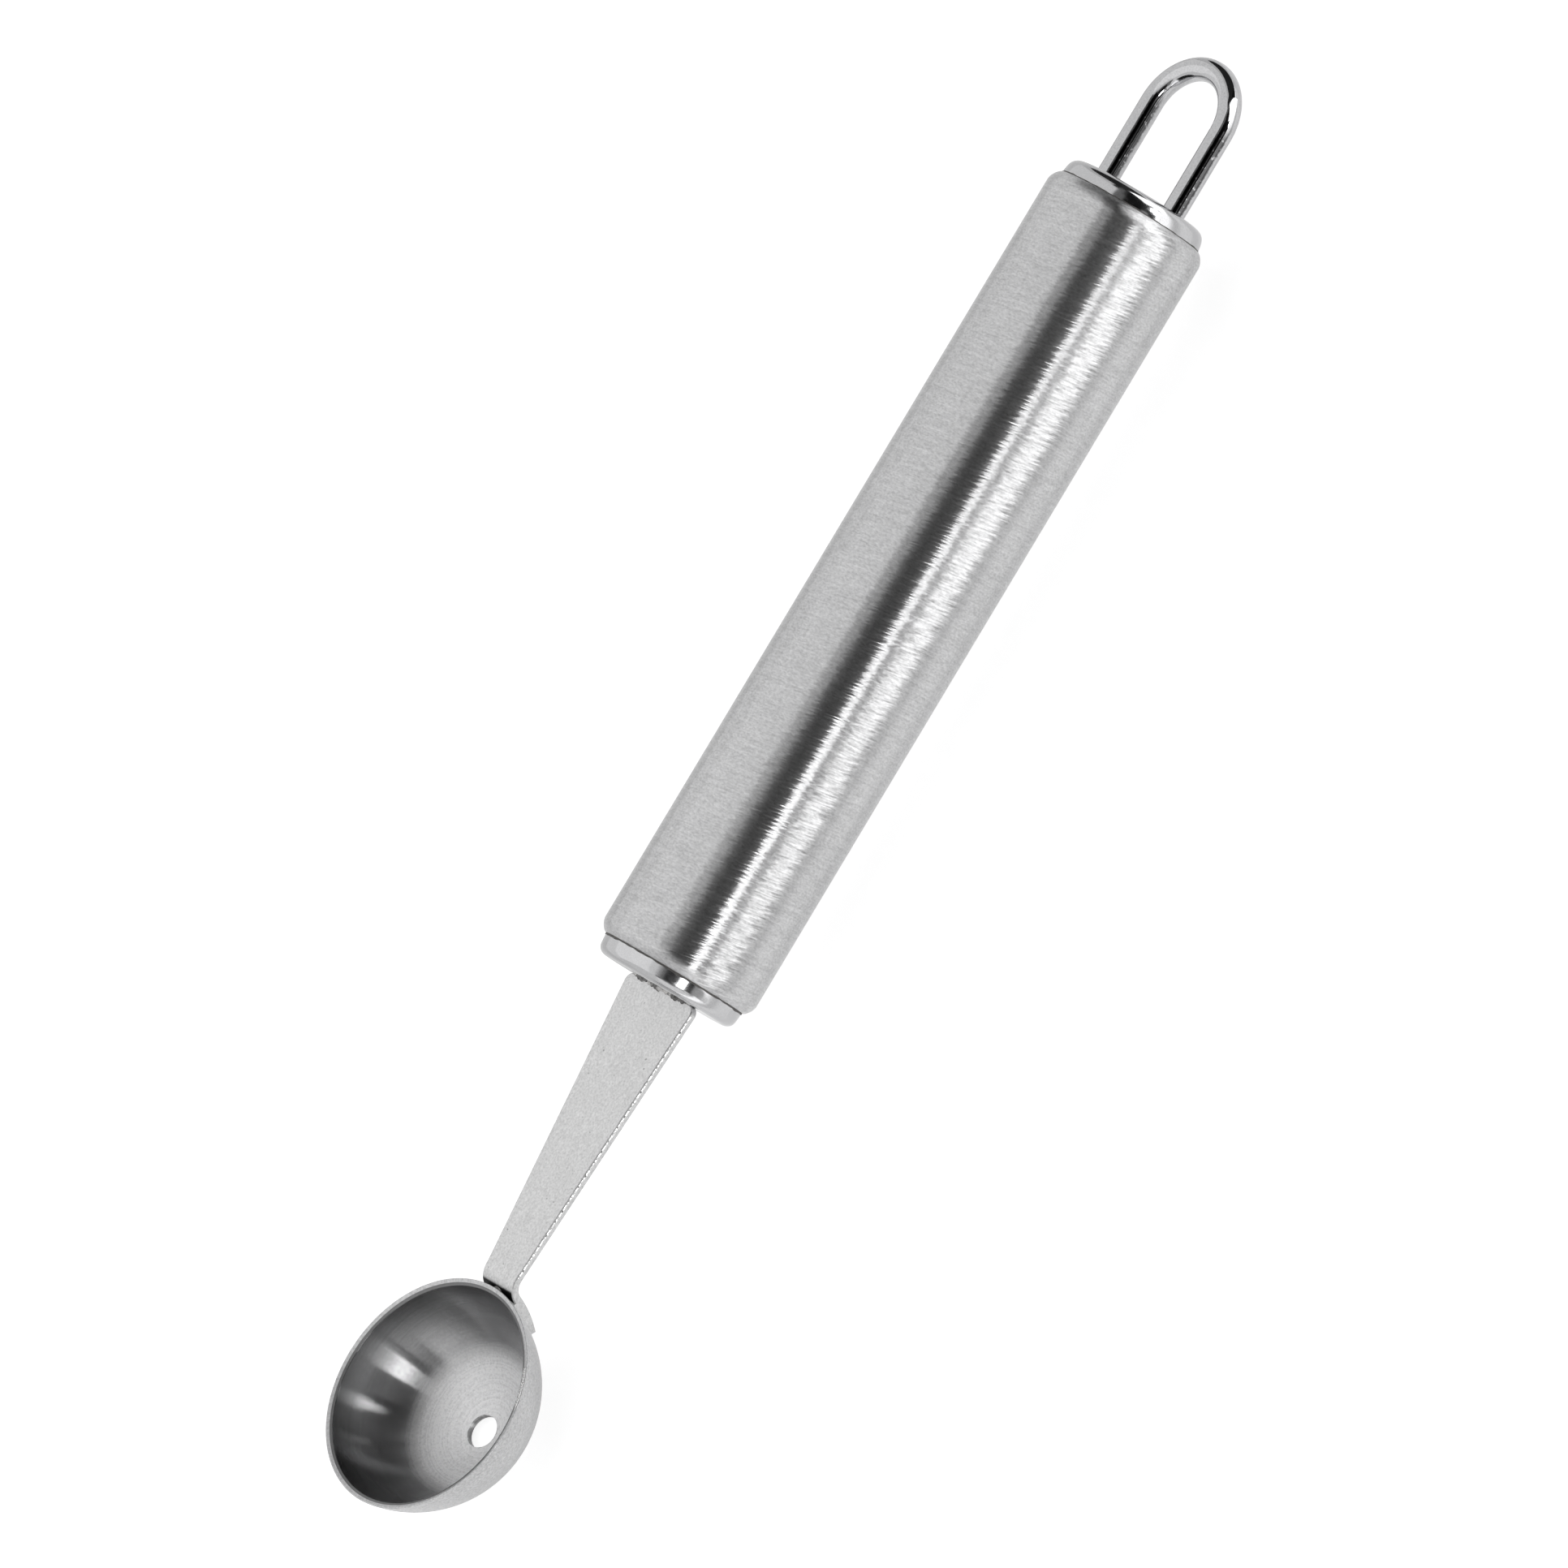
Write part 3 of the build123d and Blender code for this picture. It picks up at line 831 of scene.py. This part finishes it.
# the light tent: curved panels about the object that the camera doesn't see,
# and cards that only its steel reflects
tent = {
    "radius": 700 * mm,
    "step": 8.0,            # degrees, about the size of a panel's faces
    "lamp from": 1.0,       # a panel with at least this light is a lamp
    # A panel reaches from one height to another, in degrees from the -Y side's foot over the top
    # to the far side, and from one turn to another, in degrees towards the hanging loop.
    # The last number is its light.
    "panels": {
        "key_lamp": (20, 31, -22, -4, 5.9),
        "key_spill": (17, 32, -30, -22, 0.3),
        "strip": (19.5, 31, -4, 20, 0.33),
        "right_lamp": (12, 18, 29, 37, 6.5),
        "right_lamp_foot": (7, 12, 26, 41, 5.6),
        "low_left": (7, 17, -28, -20, 0.9),
        "low_left_foot": (0, 7, -22, -2, 0.35),
        "low_left_spill": (0, 7, -30, -22, 0.4),
        "low_front": (0, 7, -2, 40, 2.1),
        "low_far_right": (0, 6, 46, 90, 1.8),
        "left_wall": (0, 68, -90, -42, 0.85),
        "left_wall_low": (0, 32, -42, -30, 0.8),
        "left_wall_high": (32, 68, -42, -30, 0.2),
        "opening_left": (32, 54, -30, -4, 0.015),
        "eaves_dim": (54, 60, -30, -4, 0.17),
        "eaves_low": (60, 64, -30, -4, 0.34),
        "eaves_edge": (64, 68, -30, -4, 0.56),
        "opening": (32, 63, -4, 90, 0.006),
        "opening_edge": (63, 68, -4, 30, 0.16),
        "eaves": (68, 80, -42, 4, 0.77),
        "eaves_right": (68, 80, 4, 46, 0.14),
        "roof": (80, 150, -42, 4, 0.95),
        "roof_low": (150, 180, -42, 4, 0.78),
        "roof_right": (80, 180, 4, 36, 0.75),
        "roof_far_right": (92, 180, 36, 46, 0.56),
        "roof_left": (68, 180, -90, -42, 0.7),
    },
    "card height": 1.5 * mm,
    "card ends": (-690 * mm, 690 * mm),
    "card shading": 50 * mm,    # its lights change over this width, from the near edge
    "lying cards": {
        "front_card": {
            "near": -11 * mm, "far": -690 * mm,
            "lights": ((0, 0.84), (0.1, 0.88), (0.18, 0.84), (0.28, 0.66),
                       (0.4, 0.67), (0.6, 1.05), (0.85, 1.5)),
        },
        "back_card": {"near": 17 * mm, "far": 690 * mm, "lights": ((0, 0.7), (1, 0.62))},
    },
    "grey height": 1.6 * mm,
    "grey from": -29 * mm,      # grey cards lie on the front one, between two turns seen from here
    "grey turns": (-14, -2),
    "grey cards": {
        "grey_card": {"near": -70 * mm, "far": -690 * mm, "light": 0.3},
        "pale_card": {"near": -40 * mm, "far": -70 * mm, "light": 0.74},
    },
    "standing cards": {         # the two ends of each in x and y, its heights, its light
        "loop_card": ((125 * mm, -67 * mm), (125 * mm, -19 * mm), (0, 52 * mm), 2.0),
    },
}


def stagePiece(name, corners, faces, finish):
    piece = meshPiece(name, corners, faces)
    piece.data.materials.append(finish)
    return piece


def evenLight(name, strength):
    finish = Finish(bpy.data.materials.new(name))
    values = {"Color": (1, 1, 1, 1), "Strength": strength}
    return finish.put(finish.node("Emission", None, values))


def tentPanel(name, lowest, highest, fromTurn, toTurn, light):
    rows = max(1, round((highest - lowest) / tent["step"]))
    columns = max(1, round((toTurn - fromTurn) / tent["step"]))
    corners, faces = [], []
    for row in range(rows + 1):
        height = radians(lowest + (highest - lowest) * row / rows)
        for column in range(columns + 1):
            turn = radians(fromTurn + (toTurn - fromTurn) * column / columns)
            away = Vector((sin(turn), -cos(height) * cos(turn), sin(height) * cos(turn)))
            corners.append(away * tent["radius"] + Vector((0, 0, axisHeight)))
    for row in range(rows):
        for column in range(columns):
            first = row * (columns + 1) + column
            faces.append((first, first + 1, first + columns + 2, first + columns + 1))
    finish = evenLight(name, light)
    if light < tent["lamp from"]:
        finish.cycles.emission_sampling = "NONE"    # dim panels are found by the rays themselves
    panel = stagePiece(name, corners, faces, finish)
    panel.visible_camera = False


def card(name, corners, finish):
    piece = stagePiece(name, corners, [(0, 1, 2, 3)], finish)
    piece.visible_camera = piece.visible_diffuse = piece.visible_shadow = False


def lyingCard(name, near, far, lights):
    finish = Finish(bpy.data.materials.new(name))
    place = finish.node("TexCoord", out="Object")
    across = finish.node("SeparateXYZ", None, {0: place}, out="Y")
    share = (across - near) / (tent["card shading"] if far > near else -tent["card shading"])
    brightest = max(light for at, light in lights)
    stops = [(at, light / brightest) for at, light in lights]
    colour = finish.node("ValToRGB", {"stops": stops}, {0: share})
    finish.put(finish.node("Emission", None, {"Color": colour, "Strength": brightest}))
    left, right = tent["card ends"]
    spots = ((left, near), (right, near), (right, far), (left, far))
    card(name, [(*spot, tent["card height"]) for spot in spots], finish.holder)


def greyCard(name, near, far, light):
    first, last = (tan(radians(turn)) for turn in tent["grey turns"])
    spots = ((first, near), (last, near), (last, far), (first, far))
    corners = [(tent["grey from"] - y * turn, y, tent["grey height"]) for turn, y in spots]
    card(name, corners, evenLight(name, light))


def standingCard(name, start, end, heights, light):
    foot, top = heights
    corners = [(*start, foot), (*end, foot), (*end, top), (*start, top)]
    card(name, corners, evenLight(name, light))


for panelName, panelReach in tent["panels"].items():
    tentPanel(panelName, *panelReach)
for cardName, cardLook in tent["lying cards"].items():
    lyingCard(cardName, **cardLook)
for cardName, cardLook in tent["grey cards"].items():
    greyCard(cardName, **cardLook)
for cardName, cardLook in tent["standing cards"].items():
    standingCard(cardName, *cardLook)


# the table and the room; both look white to the camera, and the table keeps the shadow
studio = {
    "floor colour": 0.8,
    "floor roughness": 0.2,
    "floor refraction": 1.5,
    "floor reach": 3.0,             # metres from the middle to each side
    "floor glow to camera": 0.68,
    "floor glow to steel": 0.38,
    "world light": 0.02,            # what everything but the camera gets from the world
}


def paleFloor():
    finish = Finish(bpy.data.materials.new("pale_floor"))
    toCamera = finish.node("LightPath", out="Is Camera Ray")
    toSteel = finish.node("LightPath", out="Is Glossy Ray")
    values = {"Base Color": (studio["floor colour"],) * 3 + (1,)}
    values.update({"Roughness": studio["floor roughness"], "IOR": studio["floor refraction"]})
    table = finish.node("BsdfPrincipled", None, values)
    strength = toCamera * studio["floor glow to camera"] + toSteel * studio["floor glow to steel"]
    glow = finish.node("Emission", None, {"Color": (1, 1, 1, 1), "Strength": strength})
    return finish.put(finish.node("AddShader", None, {0: table, 1: glow}))


def whiteRoom():
    world = bpy.data.worlds.new("studio")
    bpy.context.scene.world = world
    finish = Finish(world)
    toCamera = finish.node("LightPath", out="Is Camera Ray")
    strength = toCamera * (1 - studio["world light"]) + studio["world light"]
    values = {"Color": (1, 1, 1, 1), "Strength": strength}
    finish.put(finish.node("Background", None, values), "OutputWorld")


floorReach = studio["floor reach"]
floorSpots = ((-1, -1, 0), (1, -1, 0), (1, 1, 0), (-1, 1, 0))
floorCorners = [Vector(spot) * floorReach for spot in floorSpots]
stagePiece("floor", floorCorners, [(0, 1, 2, 3)], paleFloor())
whiteRoom()
print("floor and light made")
